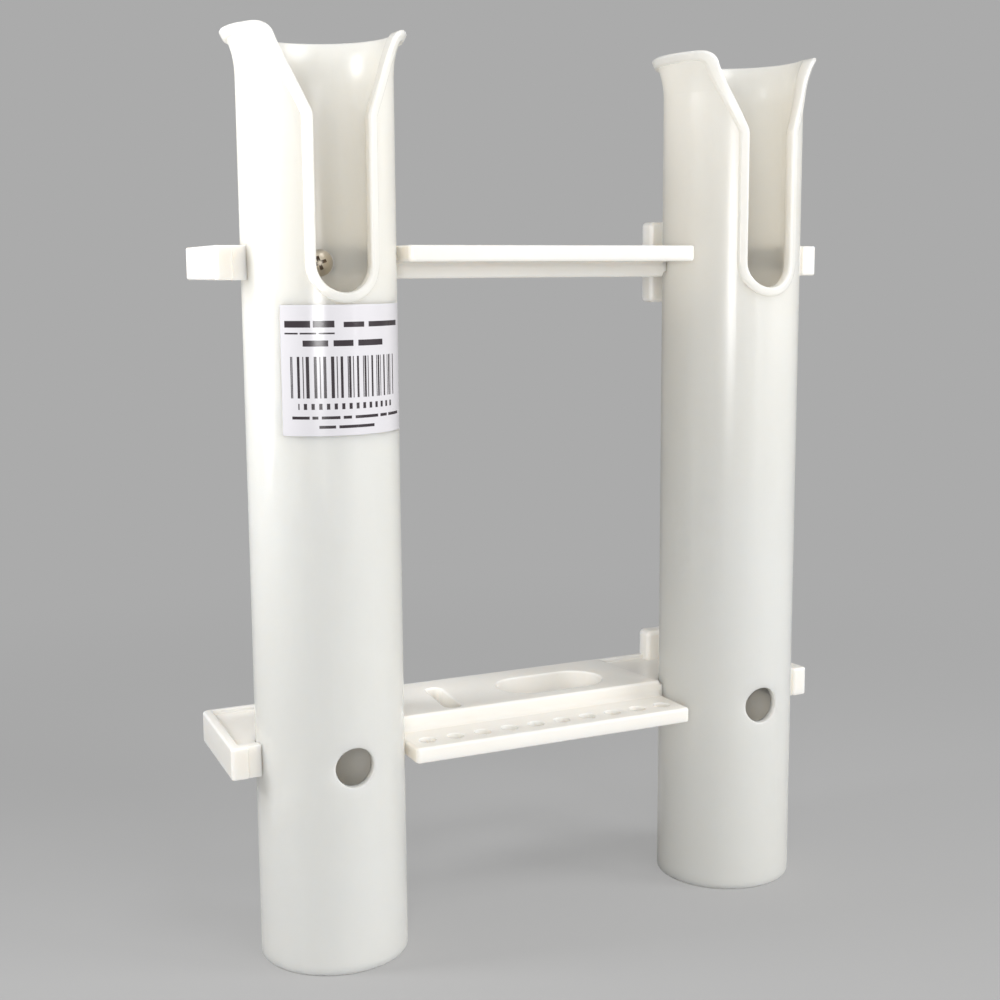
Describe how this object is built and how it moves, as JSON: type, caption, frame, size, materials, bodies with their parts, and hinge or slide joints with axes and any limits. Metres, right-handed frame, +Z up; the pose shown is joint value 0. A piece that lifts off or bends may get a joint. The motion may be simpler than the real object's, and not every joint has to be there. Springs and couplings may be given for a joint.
{
  "type": "fishing rod holder",
  "caption": "Wall rack for fishing rods: upright round tubes with flared, slotted mouths, joined by moulded trays with tool slots and a row of lure holes",
  "frame": {"origin": "on the ground in the middle of the rack's width and depth; the tubes' axes are 9.05 mm in front of it", "axes": "+X along the trays to the right as seen from the front, +Y back towards the wall, +Z up along the tubes"},
  "size_m": [0.2202, 0.0683, 0.292],
  "materials": {
    "white_plastic": "moulded, semi-gloss white",
    "screw_steel": "bright stainless",
    "label_film": "smooth white film"
  },
  "bodies": {
    "root": {"tube_left": "white_plastic", "tube_right": "white_plastic", "bracket_lower": "white_plastic", "bracket_upper": "white_plastic", "screw_left_lower_1": "screw_steel", "screw_left_lower_2": "screw_steel", "screw_left_upper_1": "screw_steel", "screw_left_upper_2": "screw_steel", "screw_right_lower_1": "screw_steel", "screw_right_lower_2": "screw_steel", "screw_right_upper_1": "screw_steel", "screw_right_upper_2": "screw_steel", "label": "label_film"}
  },
  "joints": []
}
